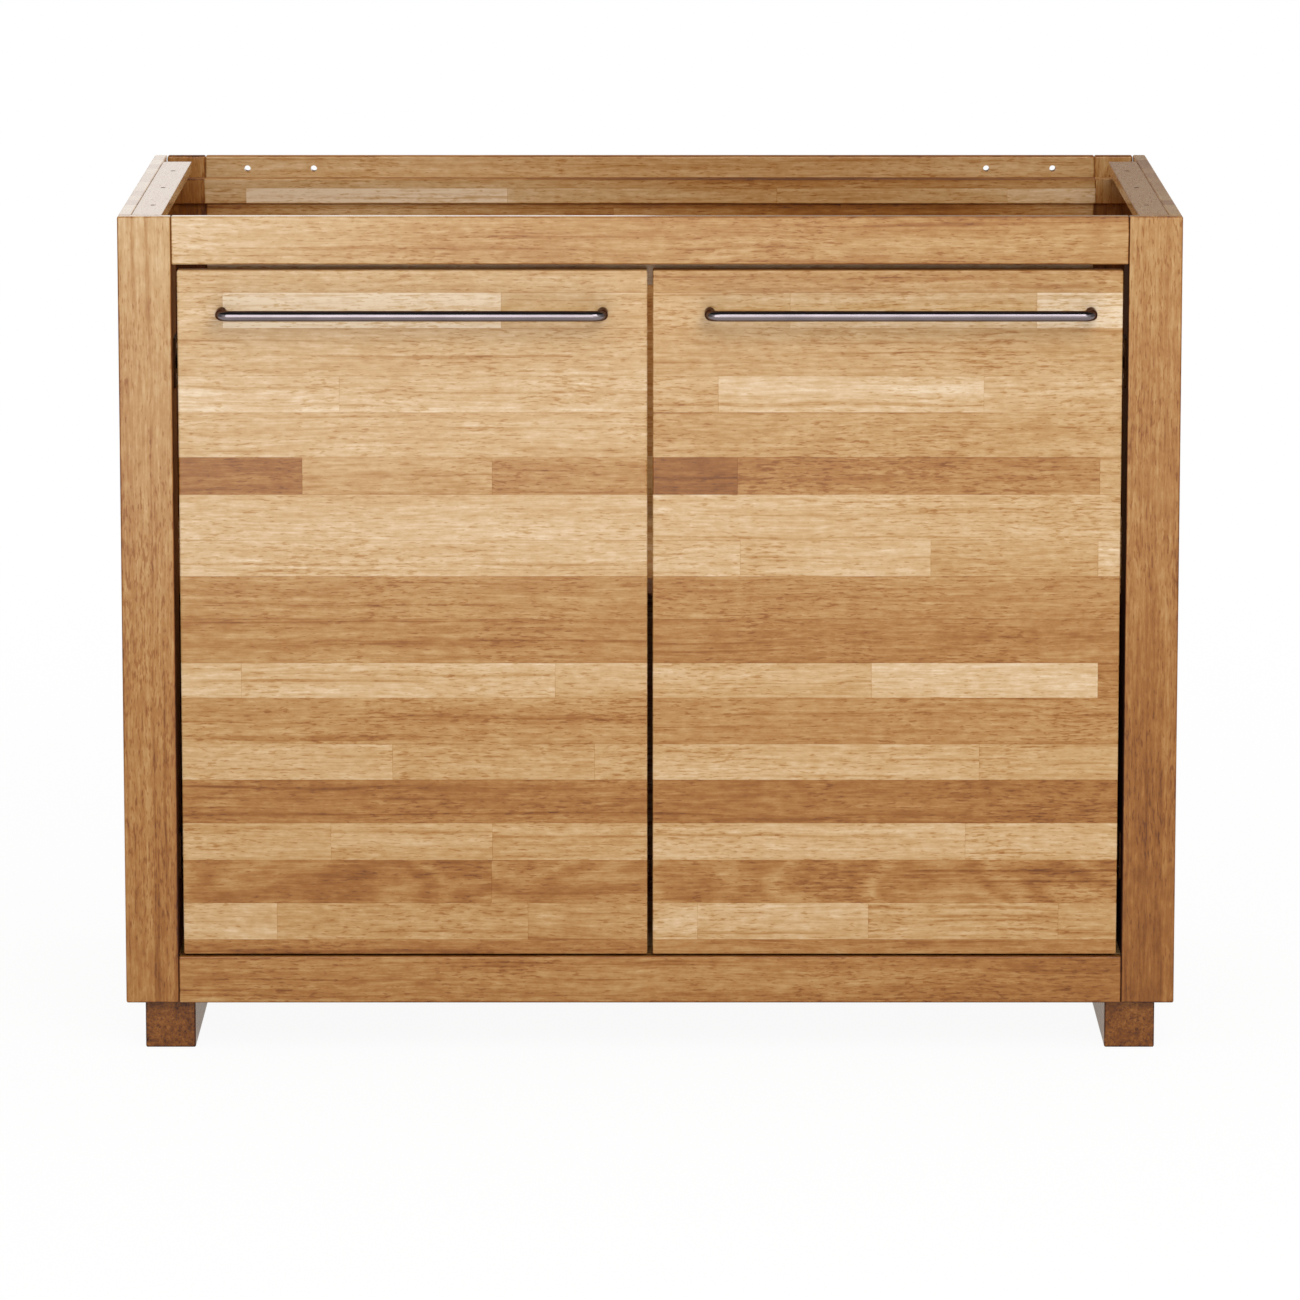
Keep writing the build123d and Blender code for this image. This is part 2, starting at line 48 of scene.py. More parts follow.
class Graph:
    """Writes one node tree. A value may be a number, a tuple or another node's output."""

    def __init__(self, tree):
        self.tree = tree
        tree.nodes.clear()

    def node(self, kind, **settings):
        made = self.tree.nodes.new(kind)
        for name, value in settings.items():
            setattr(made, name, value)
        return made

    def put(self, socket, value):
        if isinstance(value, bpy.types.NodeSocket):
            self.tree.links.new(value, socket)
        else:
            socket.default_value = value

    def feed(self, made, values):
        for socket, value in zip(made.inputs, values):
            self.put(socket, value)

    def math(self, operation, *values):
        made = self.node("ShaderNodeMath", operation=operation)
        self.feed(made, values)
        return made.outputs[0]

    def vector(self, operation, *values):
        made = self.node("ShaderNodeVectorMath", operation=operation)
        self.feed(made, values)
        return made.outputs["Value" if operation in ("LENGTH", "DOT_PRODUCT") else "Vector"]

    def axes(self, vector):
        made = self.node("ShaderNodeSeparateXYZ")
        self.feed(made, [vector])
        return dict(zip("XYZ", made.outputs))

    def join(self, x, y, z):
        made = self.node("ShaderNodeCombineXYZ")
        self.feed(made, [x, y, z])
        return made.outputs[0]

    def noise(self, vector, scale, detail=2.0, roughness=0.5):
        """Soft noise with so many features to a metre along each axis."""
        made = self.node("ShaderNodeTexNoise")
        self.put(made.inputs["Vector"], self.vector("MULTIPLY", vector, scale))
        made.inputs["Scale"].default_value = 1.0
        made.inputs["Detail"].default_value = detail
        made.inputs["Roughness"].default_value = roughness
        return made.outputs[0]

    def chance(self, vector):
        made = self.node("ShaderNodeTexWhiteNoise", noise_dimensions="3D")
        self.put(made.inputs["Vector"], vector)
        return made.outputs["Value"]

    def blend_range(self, value, low, high, at_low=0.0, at_high=1.0, smooth=True):
        kind = "SMOOTHSTEP" if smooth else "LINEAR"
        made = self.node("ShaderNodeMapRange", interpolation_type=kind)
        self.feed(made, [value, low, high, at_low, at_high])
        return made.outputs[0]

    def ramp(self, value, stops):
        made = self.node("ShaderNodeValToRGB")
        self.put(made.inputs[0], value)
        elements = made.color_ramp.elements
        while len(elements) < len(stops):
            elements.new(0.5)
        for element, (position, colour) in zip(elements, stops):
            element.position = position
            element.color = colour
        return made.outputs[0]

    def mix(self, factor, a, b):
        made = self.node("ShaderNodeMix", data_type="RGBA")
        self.put(made.inputs[0], factor)
        self.put(made.inputs[MIX_FIRST], a)
        self.put(made.inputs[MIX_SECOND], b)
        return made.outputs[MIX_RESULT]

    def bump(self, height, strength, depth):
        made = self.node("ShaderNodeBump")
        made.inputs["Strength"].default_value = strength
        made.inputs["Distance"].default_value = depth
        self.put(made.inputs["Height"], height)
        return made.outputs[0]

    def place(self):
        """Where a point is in the cabinet when it stands closed."""
        return self.node("ShaderNodeTexCoord").outputs["Object"]


def new_material(name):
    material = bpy.data.materials.new(name)
    material.use_nodes = True
    graph = Graph(material.node_tree)
    shader = graph.node("ShaderNodeBsdfPrincipled")
    output = graph.node("ShaderNodeOutputMaterial")
    graph.put(output.inputs["Surface"], shader.outputs[0])
    return material, graph, shader


# Wood: tones from sapwood to heartwood, on a scale where 1 is plain brown

WOOD_TONES = [
    (-0.2, srgb(238, 214, 182)),
    (0.0, srgb(224, 193, 153)),
    (0.25, srgb(209, 171, 122)),
    (0.5, srgb(193, 149, 94)),
    (0.75, srgb(176, 124, 67)),
    (1.0, srgb(156, 100, 45)),
    (1.3, srgb(131, 77, 28)),
    (1.6, srgb(104, 57, 22)),
    (2.0, srgb(58, 26, 9)),
]
PALEST, DARKEST = WOOD_TONES[0][0], WOOD_TONES[-1][0]
TONE_SPAN = DARKEST - PALEST
IVORY = -0.17
CREAM = 0.06
STRAW = 0.14
MAIZE = 0.21
HONEY = 0.26
GOLD = 0.38
OCHRE = 0.43
TAN = 0.50
FAWN = 0.55
AMBER = 0.60
RUSSET = 0.66
BROWN = 0.70
HAZEL = 0.76
UMBER = 0.82
DARK = 0.88
EBONY = 1.05

Grain = namedtuple("Grain", "along across depth")
GRAIN_X = Grain("X", "Z", "Y")
GRAIN_Y = Grain("Y", "X", "Z")
GRAIN_Z = Grain("Z", "X", "Y")
SIDE_GRAIN = Grain("Z", "Y", "X")
FLAT_GRAIN = Grain("X", "Y", "Z")

# Grain features: how many to a metre along and across the grain, the detail and its share, then how much
# they change the tone. Noise runs from 0 to 1 around its middle

STREAKS = ((2.2, 42.0, 42.0), 4.0, 0.6)
LINES = ((1.3, 170.0, 170.0), 2.0)
FIBRES = ((30.0, 400.0, 400.0), 3.0, 0.6)
STROKES = ((90.0, 500.0, 500.0), 2.0)
MOTTLE = ((75.0, 155.0, 155.0), 3.0, 0.65)
FIGURE = ((8.0, 14.0, 14.0), 1.0)
WANDER = ((6.0, 14.0, 14.0), 1.0)
NOISE_MIDDLE = 0.5
DARK_LINES = (0.60, 0.70)
PORES = (0.57, 0.68)
EDGE_PATCHES = (0.3, 0.6)
GLUE_PATCHES = (0.35, 0.6, 0.3, 1.0)
FIGURE_RINGS = 5.0
STRAIGHT = 0.07
WAVY = 0.25
FLAME = 1.0
WANDER_REACH = 9.0 * MM
STREAK_TONE = 0.62
LINE_TONE = 0.42
DARK_LINE_TONE = 0.20
FIBRE_TONE = 0.80
STROKE_TONE = 0.34
MOTTLE_TONE = 0.62
FIGURE_TONE = 0.14
GLUE_TONE = 0.26
# Doors wear paler at their edges; the other boards darken at their edges, partly stain and partly painted
# shade in the seams between boards
WORN_EDGE_TONE = -0.10
EDGE_STAIN_AND_SHADE_TONE = 0.60
SEED_SHIFT = (3.7, 1.3, 2.9)
STROKE_PATCHES = 0.3
END_GRAIN_SHARE = 1.3
PLANED_SHARE = 0.35

EDGE_WIDTH = 2.2 * MM
WOOD_ROUGHNESS = 0.20
FIBRE_ROUGHNESS = 0.12
PORE_ROUGHNESS = 0.10
EDGE_ROUGHNESS = 0.08
SAWN_ROUGHNESS = 0.4
LACQUER_ROUGHNESS = 0.16
LACQUER_IOR = 1.25
GRAIN_STRENGTH = 0.25
GRAIN_DEPTH = 0.03 * MM
FIBRE_HEIGHT = 0.5
FACING = (0.5, 0.95)

# Faces that are sawn and not lacquered: which way they look, and how much darker they are. On faces in the
# gaps beside the doors, in the gap between the inner back and the wall rail and in the seams between
# boards, the darker tone is painted shade.

LEFT, RIGHT = (-1.0, 0.0, 0.0), (1.0, 0.0, 0.0)
FRONT, BACK = (0.0, -1.0, 0.0), (0.0, 1.0, 0.0)
DOWN, UP = (0.0, 0.0, -1.0), (0.0, 0.0, 1.0)
ALL_ROUND = (LEFT, RIGHT, FRONT, BACK, DOWN, UP)
SAWN_AND_SHADED_FACES = {
    # Inner faces of the front posts, seen in the gaps beside the doors: painted shade, darker on the right
    "front_post_left": ((RIGHT, DOWN), 0.9),
    "front_post_right": ((LEFT, DOWN), 1.3),
    # Ends of the rails, in their seams with the posts: painted shade
    "front_top_rail": ((LEFT, RIGHT), 0.9),
    "front_bottom_rail": ((LEFT, RIGHT, DOWN), 0.9),
    "wall_rail": ((UP,), 0.6),
    "rear_post_left": ((UP,), 0.6),
    "rear_post_right": ((UP,), 0.6),
    # Tops of the inner back's rail and stiles, in the gap between them and the wall rail: painted shade
    "back_top_rail": ((UP,), 0.35),
    "back_stile_left": ((UP,), 0.35),
    "back_stile_right": ((UP,), 0.35),
    # Sides and ends of the battens, in their seams with the side panels and rails: painted shade
    "worktop_batten_left": ((LEFT, FRONT, BACK), 1.5),
    "worktop_batten_right": ((RIGHT, FRONT, BACK), 1.5),
    # Hinge posts, seen through the gaps beside the doors: painted shade, darker on the right
    "hinge_post_left": ((RIGHT,), 0.6),
    "hinge_post_right": ((LEFT,), 1.4),
    "door_panel_left": ((LEFT, RIGHT, DOWN, UP), 0.0),
    "door_panel_right": ((LEFT, RIGHT, DOWN, UP), 0.0),
}

# Boards with planed tops, where the grain hardly shows

PLANED_TOPS = ("side_panel_left", "side_panel_right", "worktop_batten_left", "worktop_batten_right")


def edge_nearness(graph, place, low, high):
    """1 on the edges of a board between two corners, fading to 0 a few millimetres away."""
    gaps = []
    for i, axis in enumerate("XYZ"):
        from_low = graph.math("SUBTRACT", place[axis], low[i])
        from_high = graph.math("SUBTRACT", high[i], place[axis])
        gaps.append(graph.math("MINIMUM", from_low, from_high))
    a, b, c = gaps
    wider = graph.math("MINIMUM", graph.math("MAXIMUM", a, b), c)
    middle = graph.math("MAXIMUM", graph.math("MINIMUM", a, b), wider)
    return graph.blend_range(middle, 0.0, EDGE_WIDTH, 1.0, 0.0)


def looking(graph, directions):
    """1 on the faces of a board that look in one of the directions."""
    normal = graph.node("ShaderNodeTexCoord").outputs["Normal"]
    most = 0.0
    for direction in directions:
        most = graph.math("MAXIMUM", most, graph.vector("DOT_PRODUCT", normal, direction))
    return graph.blend_range(most, *FACING)


Features = namedtuple("Features", "streaks lines fibres pores mottle rings")


def grain_features(graph, timber):
    """The marks in timber whose grain runs along X."""
    wander = graph.math("SUBTRACT", graph.noise(timber, *WANDER), NOISE_MIDDLE)
    timber = graph.vector("MULTIPLY_ADD", wander, (0.0, WANDER_REACH, WANDER_REACH), timber)
    streaks = graph.noise(timber, *STREAKS)
    lines = graph.noise(timber, *LINES)
    fibres = graph.noise(timber, *FIBRES)
    strokes = graph.noise(timber, *STROKES)
    mottle = graph.noise(timber, *MOTTLE)
    contours = graph.noise(timber, *FIGURE)
    rings = graph.math("SINE", graph.math("MULTIPLY", contours, FIGURE_RINGS * math.tau))
    patches = graph.math("SUBTRACT", contours, NOISE_MIDDLE)
    pores = graph.blend_range(graph.math("MULTIPLY_ADD", patches, STROKE_PATCHES, strokes), *PORES)
    return Features(streaks, lines, fibres, pores, mottle, rings)


def grain_tone(graph, marks, glue, figure, edge, edge_tone):
    """How much the marks, the glue lines and the edges of a board darken it."""
    tone = 0.0
    for feature, weight in (
        (graph.math("SUBTRACT", marks.streaks, NOISE_MIDDLE), STREAK_TONE),
        (graph.math("SUBTRACT", marks.lines, NOISE_MIDDLE), LINE_TONE),
        (graph.blend_range(marks.lines, *DARK_LINES), DARK_LINE_TONE),
        (graph.math("SUBTRACT", marks.fibres, NOISE_MIDDLE), FIBRE_TONE),
        (graph.math("SUBTRACT", marks.mottle, NOISE_MIDDLE), MOTTLE_TONE),
        (marks.pores, STROKE_TONE),
        (graph.math("MULTIPLY", marks.rings, figure), FIGURE_TONE),
        (graph.math("MULTIPLY", glue, graph.blend_range(marks.streaks, *GLUE_PATCHES)), GLUE_TONE),
        (edge, edge_tone),
    ):
        tone = graph.math("MULTIPLY_ADD", feature, weight, tone)
    return tone


def grain_shown(graph, node, grain):
    """How strongly the grain shows: more on the ends of a board, and hardly on a planed top."""
    faces = [direction for direction in ALL_ROUND if direction["XYZ".index(grain.along)]]
    share = END_GRAIN_SHARE
    if node in PLANED_TOPS:
        faces = [UP]
        share = PLANED_SHARE
    return graph.math("MULTIPLY_ADD", looking(graph, faces), share - 1.0, 1.0)


def wood(node, grain, character):
    """A lacquered board. character gives its tone, a seed for its grain, glue lines and figure.

    The doors are worn pale at their edges. The edges of the other boards are darker, partly from stain that
    gathers there and partly as painted shade in the seams between boards. Sawn faces have no lacquer and
    are darker, which on faces in the gaps and seams is painted shade, and on a board without sawn faces the
    edges have none.
    """
    material, graph, shader = new_material(node)
    low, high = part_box(node)
    place = graph.axes(graph.place())
    tone, seed, glue, figure = character(graph, place)

    turned = graph.join(place[grain.along], place[grain.across], place[grain.depth])
    marks = grain_features(graph, graph.vector("MULTIPLY_ADD", seed, SEED_SHIFT, turned))
    nearness = edge_nearness(graph, place, low, high)
    edge = graph.math("MULTIPLY", nearness, graph.blend_range(marks.streaks, *EDGE_PATCHES))
    # Darker edges on boards other than the doors: partly stain, partly painted shade in the seams
    edge_tone = WORN_EDGE_TONE if node.startswith("door_panel") else EDGE_STAIN_AND_SHADE_TONE
    darker = grain_tone(graph, marks, glue, figure, edge, edge_tone)
    height = graph.math("SUBTRACT", graph.math("MULTIPLY", marks.fibres, FIBRE_HEIGHT), marks.pores)
    height = graph.math("SUBTRACT", height, glue)
    rough = graph.math("MULTIPLY_ADD", marks.fibres, FIBRE_ROUGHNESS, WOOD_ROUGHNESS)
    rough = graph.math("MULTIPLY_ADD", marks.pores, PORE_ROUGHNESS, rough)
    rough = graph.math("MULTIPLY_ADD", edge, EDGE_ROUGHNESS, rough)

    shown = grain_shown(graph, node, grain)
    tone = graph.math("MULTIPLY_ADD", darker, shown, tone)
    bare = nearness
    # Sawn faces lose their lacquer and darken; in the gaps beside the doors and the seams between boards
    # this darkening is painted shade
    if node in SAWN_AND_SHADED_FACES:
        directions, sawn_and_shade_tone = SAWN_AND_SHADED_FACES[node]
        bare = looking(graph, directions)
        tone = graph.math("MULTIPLY_ADD", bare, sawn_and_shade_tone, tone)
        rough = graph.math("MULTIPLY_ADD", bare, SAWN_ROUGHNESS, rough)

    stops = [((at - PALEST) / TONE_SPAN, colour) for at, colour in WOOD_TONES]
    shade = graph.blend_range(tone, PALEST, DARKEST, smooth=False)
    graph.put(shader.inputs["Base Color"], graph.ramp(shade, stops))
    graph.put(shader.inputs["Roughness"], rough)
    relief = graph.math("MULTIPLY", height, shown)
    graph.put(shader.inputs["Normal"], graph.bump(relief, GRAIN_STRENGTH, GRAIN_DEPTH))
    shader.inputs["IOR"].default_value = LACQUER_IOR
    graph.put(shader.inputs["Coat Weight"], graph.math("SUBTRACT", 1.0, bare))
    shader.inputs["Coat IOR"].default_value = LACQUER_IOR
    shader.inputs["Coat Roughness"].default_value = LACQUER_ROUGHNESS
    return material


def plain_board(node, grain, tones, seed, figure=WAVY):
    """One length of timber whose tone drifts along the grain, from its low end to its high end."""
    low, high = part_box(node)
    end = "XYZ".index(grain.along)

    def character(graph, place):
        way = graph.blend_range(place[grain.along], low[end], high[end], smooth=False)
        last = len(tones) - 1
        stops = [(i / last, ((tone - PALEST) / TONE_SPAN,) * 3 + (1.0,)) for i, tone in enumerate(tones)]
        drift = graph.math("MULTIPLY_ADD", graph.ramp(way, stops), TONE_SPAN, PALEST)
        return drift, (seed, seed, seed), 0.0, figure

    return character


GLUE_LINE = 0.7 * MM
GRAIN_SEEDS = 9.0
DOOR_SEED = 11.0
BACK_RAIL_SEED = 5.0
BACK_PANEL_SEED = 6.0
ROW_MIDDLE = 0.5


def row_table(graph, row, values):
    """Looks up four numbers from 0 to 1 for a row by its count from the top: three and one apart."""
    made = graph.node("ShaderNodeValToRGB")
    made.color_ramp.interpolation = "CONSTANT"
    graph.put(made.inputs[0], graph.math("DIVIDE", graph.math("ADD", row, ROW_MIDDLE), len(values)))
    elements = made.color_ramp.elements
    while len(elements) < len(values):
        elements.new(1.0)
    for i, (element, value) in enumerate(zip(elements, values)):
        element.position = i / len(values)
        element.color = value
    return made.outputs


TABLE_JOINTS = 3
MOST_JOINTS = 2 * TABLE_JOINTS
COUNT_STEP = 7.0
NO_STEP = 0.5


def listed_staves(grain, node_low, node_high, rows, seed):
    """Staves in rows from the top down. A row is its height, figure and staves: (tone, where it starts).

    The first stave starts at the end of the panel. Each later start is a step in tone, kept as half
    the step on a scale whose middle is no change. Tables hold tones as shares of the whole span.
    """
    low = dict(zip("XYZ", node_low))
    high = dict(zip("XYZ", node_high))
    length = high[grain.along] - low[grain.along]
    depth = high[grain.across] - low[grain.across]
    starts, half_steps, bounds = [], [], []
    upper = 0.0
    for height, figure, staves in rows:
        tones = [(tone - PALEST) / TONE_SPAN for tone, start in staves]
        joints = [(start - low[grain.along]) / length for tone, start in staves[1:]]
        steps = [NO_STEP + (after - before) / 2 for before, after in zip(tones, tones[1:])]
        spare = MOST_JOINTS - len(joints)
        starts.append(joints + [1.0] * spare)
        half_steps.append(steps + [NO_STEP] * spare)
        bounds.append(((tones[0] + tones[-1]) / 2, upper / depth, (upper + height) / depth, figure))
        upper += height

    def character(graph, place):
        across, along = place[grain.across], place[grain.along]
        down = graph.blend_range(across, high[grain.across], low[grain.across], smooth=False)
        way = graph.blend_range(along, low[grain.along], high[grain.along], smooth=False)
        row = 0.0
        for _, _, limit, _ in bounds[:-1]:
            row = graph.math("ADD", row, graph.math("GREATER_THAN", down, limit))
        measures, figure = row_table(graph, row, bounds)
        own = graph.axes(measures)
        share, count = own["X"], row
        nearest = 1.0
        for part in (slice(0, TABLE_JOINTS), slice(TABLE_JOINTS, MOST_JOINTS)):
            joint, _ = row_table(graph, row, [(*values[part], 1.0) for values in starts])
            step, _ = row_table(graph, row, [(*values[part], 1.0) for values in half_steps])
            past = graph.vector("SUBTRACT", graph.join(way, way, way), joint)
            side = graph.vector("SIGN", past)
            step = graph.vector("SUBTRACT", step, (NO_STEP, NO_STEP, NO_STEP))
            share = graph.math("ADD", share, graph.vector("DOT_PRODUCT", side, step))
            passed = graph.vector("DOT_PRODUCT", side, (1, 1, 1))
            count = graph.math("ADD", graph.math("MULTIPLY", count, COUNT_STEP), passed)
            gaps = graph.axes(graph.vector("ABSOLUTE", past))
            for gap in gaps.values():
                nearest = graph.math("MINIMUM", nearest, gap)
        to_joint = graph.math("MULTIPLY", nearest, length)
        over = graph.math("SUBTRACT", down, own["Y"])
        under = graph.math("SUBTRACT", own["Z"], down)
        to_row = graph.math("MULTIPLY", graph.math("MINIMUM", over, under), depth)
        glue = graph.math("LESS_THAN", graph.math("MINIMUM", to_joint, to_row), GLUE_LINE / 2)
        luck = graph.chance(graph.join(row, count, seed))
        grain_seed = graph.math("MULTIPLY", luck, GRAIN_SEEDS)
        return graph.math("MULTIPLY_ADD", share, TONE_SPAN, PALEST), grain_seed, glue, figure

    return character


def regular_staves(grain, width, length, pale, brown, seed):
    """Staves of one width, in rows that start at different places, with tones drawn at random."""

    def character(graph, place):
        rows = graph.math("DIVIDE", place[grain.across], width)
        row = graph.math("FLOOR", rows)
        stagger = graph.chance(graph.join(row, seed, 0.0))
        lengths = graph.math("ADD", graph.math("DIVIDE", place[grain.along], length), stagger)
        stave = graph.math("FLOOR", lengths)
        tone = graph.chance(graph.join(row, stave, seed))
        tone = graph.math("MULTIPLY_ADD", tone, brown - pale, pale)
        luck = graph.chance(graph.join(stave, row, seed + 1))
        grain_seed = graph.math("MULTIPLY", luck, GRAIN_SEEDS)
        glue = 0.0
        for value, size in ((rows, width), (lengths, length)):
            to_line = graph.math("MULTIPLY", graph.math("PINGPONG", value, 0.5), 2 * size)
            glue = graph.math("ADD", glue, graph.math("LESS_THAN", to_line, GLUE_LINE))
        return tone, grain_seed, glue, WAVY

    return character


# Cutting list of the doors, which come out of one panel: row heights from the top down in millimetres,
# the figure of the row, then the staves of the left and of the right door, each a tone and a length,
# the last to the edge

DOOR_PANEL_ROWS = [
    (23.0, STRAIGHT, [(HONEY,)], [(TAN,)]),
    (37.0, STRAIGHT, [(STRAW, 47), (IVORY, 288), (HONEY,)], [(HONEY, 142), (MAIZE, 255), (IVORY,)]),
    (50.0, WAVY, [(HONEY,)], [(GOLD,)]),
    (38.0, STRAIGHT, [(CREAM, 167), (STRAW,)], [(HONEY, 68), (STRAW, 275), (HONEY,)]),
    (47.0, WAVY, [(HONEY,)], [(OCHRE,)]),
    (39.0, WAVY, [(DARK, 128), (OCHRE, 197), (AMBER,)], [(EBONY, 88), (BROWN, 376), (GOLD,)]),
    (48.0, STRAIGHT, [(STRAW,)], [(MAIZE,)]),
    (38.0, STRAIGHT, [(STRAW,)], [(STRAW, 91), (MAIZE, 198), (OCHRE, 174), (STRAW,)]),
    (45.0, WAVY, [(AMBER,)], [(AMBER,)]),
    (46.5, WAVY, [(RUSSET,)], [(HAZEL,)]),
    (37.0, STRAIGHT, [(STRAW, 63), (STRAW, 327), (HONEY,)], [(HONEY, 228), (CREAM, 236), (UMBER,)]),
    (49.0, WAVY, [(FAWN,)], [(RUSSET,)]),
    (38.0, STRAIGHT, [(HONEY, 220), (GOLD, 211), (GOLD,)], [(HONEY, 341), (GOLD,)]),
    (46.0, STRAIGHT, [(UMBER,)], [(DARK,)]),
    (39.5, STRAIGHT, [(OCHRE, 155), (GOLD, 169), (GOLD,)], [(HONEY, 327), (HONEY,)]),
    (45.8, FLAME, [(DARK, 323), (HAZEL,)], [(HAZEL,)]),
    (39.1, WAVY, [(HONEY, 98), (OCHRE, 263), (FAWN,)], [(HONEY, 47), (HONEY, 179), (GOLD, 199), (TAN,)]),
    (15.7, STRAIGHT, [(UMBER,)], [(BROWN,)]),
]


def stave_starts(left_edge, staves):
    """Turns a door's cutting list into tones and where their staves start along the panel."""
    placed = []
    start = left_edge
    for tone, *length in staves:
        placed.append((tone, start))
        start += length[0] * MM if length else 0.0
    return placed


def door_staves():
    left_low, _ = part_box("door_panel_left")
    right_low, right_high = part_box("door_panel_right")
    rows = [
        (height * MM, figure, stave_starts(left_low.x, left) + stave_starts(right_low.x, right))
        for height, figure, left, right in DOOR_PANEL_ROWS
    ]
    return listed_staves(GRAIN_X, left_low, right_high, rows, DOOR_SEED)


# Inner back: a rail with paler staves let into its lower half, over a panel. The tone of both drifts from
# the left end to the right near the top and evens out below. A stave's tone is a step on a scale where
# BOARD_STEP leaves the board as it is

BOARD_STEP = 0.60
BOARD_TONE = 0.55
DRIFT_DEPTH = 60.0 * MM
EVEN_DEPTH = 280.0 * MM
BACK_RAIL_DRIFT = (0.35, 0.31, 0.31, 0.57, 0.78, 0.68, 0.49)
BACK_RAIL_ROWS = [
    (10.0, WAVY, [(BOARD_STEP,)]),
    (17.0, STRAIGHT, [(0.52, 46), (0.10, 288), (0.34, 297), (0.30, 254), (0.26,)]),
]
BACK_PANEL_DRIFT = (0.72, 0.18, 0.43, 0.78, 1.06, 1.16, 0.42)
BACK_PANEL_STAVES = (0.046, 0.74, 0.48, 0.72)


def drifting(node, drift, staves):
    """Staves in a board whose tone drifts along its upper part."""
    board = plain_board(node, GRAIN_X, drift, seed=0.0)
    _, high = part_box(node)

    def character(graph, place):
        tone, *_ = board(graph, place)
        step, *rest = staves(graph, place)
        upper = graph.blend_range(place["Z"], high.z - EVEN_DEPTH, high.z - DRIFT_DEPTH)
        tone = graph.math("MULTIPLY_ADD", graph.math("SUBTRACT", tone, BOARD_TONE), upper, BOARD_TONE)
        return graph.math("ADD", tone, graph.math("SUBTRACT", step, BOARD_STEP)), *rest

    return character


def back_rail_staves(node):
    low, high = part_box(node)
    rows = [(height * MM, figure, stave_starts(low.x, staves)) for height, figure, staves in BACK_RAIL_ROWS]
    return drifting(node, BACK_RAIL_DRIFT, listed_staves(GRAIN_X, low, high, rows, BACK_RAIL_SEED))


def back_panel_staves(node):
    return drifting(node, BACK_PANEL_DRIFT, regular_staves(GRAIN_X, *BACK_PANEL_STAVES, BACK_PANEL_SEED))


# Metal and plastic: marks to a metre along the three axes, and what they do between two ends of a noise

CLOUD_ENDS = (0.3, 0.7)
MARK_DEPTH = 0.05 * MM
BAR_MARKS = (12.0, 900.0, 900.0)
BAR_CLOUDS = (30.0, 60.0, 60.0)
BAR_COLOURS = (srgb(120, 112, 116), srgb(132, 124, 128))
# Brown tint of the bar's grazing reflections: a painted reflection of the wood around it
BAR_PAINTED_REFLECTION_TINT = srgb(118, 84, 64)
BAR_ROUGHNESS = (0.2, 0.8, 0.10, 0.22)
BAR_RELIEF = 0.08
PLATE_CLOUDS = (140.0, 140.0, 140.0)
PLATE_SCUFFS = (1400.0, 300.0, 700.0)
PLATE_SCUFF_ENDS = (0.25, 0.75)
PLATE_SMOOTHER = 0.07
PLATE_ROUGHER = 0.10
PLATE_RELIEF = 0.1
# Dark brown hinge metal, kept dark so the hinges in the gaps beside the doors read as shade: painted shade
HINGE_PAINTED_SHADE_COLOURS = (srgb(60, 36, 20), srgb(80, 50, 28))
DARK_HINGE_ROUGHNESS = 0.6
ZINC_COLOURS = (srgb(168, 168, 166), srgb(204, 204, 200))
ZINC_ROUGHNESS = 0.34
PLASTIC_GRIT = (2200.0, 2200.0, 2200.0)
PLASTIC_CLOUDS = (160.0, 160.0, 160.0)
PLASTIC_COLOURS = (srgb(196, 194, 188), srgb(214, 212, 206))
PLASTIC_ROUGHNESS = (0.3, 0.7, 0.38, 0.55)
PLASTIC_RELIEF = 0.15
GRIT_DEPTH = 0.1 * MM


def cloudy(graph, clouds, colours):
    """A colour that drifts between two."""
    return graph.ramp(clouds, list(zip(CLOUD_ENDS, colours)))


def polished_steel(name):
    """Drawn steel bar: bright, with fine marks along the bar."""
    material, graph, shader = new_material(name)
    place = graph.place()
    marks = graph.noise(place, BAR_MARKS, detail=3.0, roughness=0.7)
    clouds = graph.noise(place, BAR_CLOUDS)
    graph.put(shader.inputs["Base Color"], cloudy(graph, clouds, BAR_COLOURS))
    graph.put(shader.inputs["Roughness"], graph.blend_range(marks, *BAR_ROUGHNESS, smooth=False))
    graph.put(shader.inputs["Normal"], graph.bump(marks, BAR_RELIEF, MARK_DEPTH))
    shader.inputs["Metallic"].default_value = 1.0
    # Painted reflection: the bar's grazing reflections tinted brown like the wood
    shader.inputs["Specular Tint"].default_value = BAR_PAINTED_REFLECTION_TINT
    return material


def plated_steel(name, colours, roughness):
    """Pressed or turned steel with a thin plating, a little cloudy and scuffed."""
    material, graph, shader = new_material(name)
    place = graph.place()
    clouds = graph.noise(place, PLATE_CLOUDS, detail=3.0, roughness=0.6)
    scuffs = graph.noise(place, PLATE_SCUFFS, roughness=0.7)
    spread = (roughness - PLATE_SMOOTHER, roughness + PLATE_ROUGHER)
    scuffed = graph.blend_range(scuffs, *PLATE_SCUFF_ENDS, *spread, smooth=False)
    graph.put(shader.inputs["Base Color"], cloudy(graph, clouds, colours))
    graph.put(shader.inputs["Roughness"], scuffed)
    graph.put(shader.inputs["Normal"], graph.bump(scuffs, PLATE_RELIEF, MARK_DEPTH))
    shader.inputs["Metallic"].default_value = 1.0
    return material


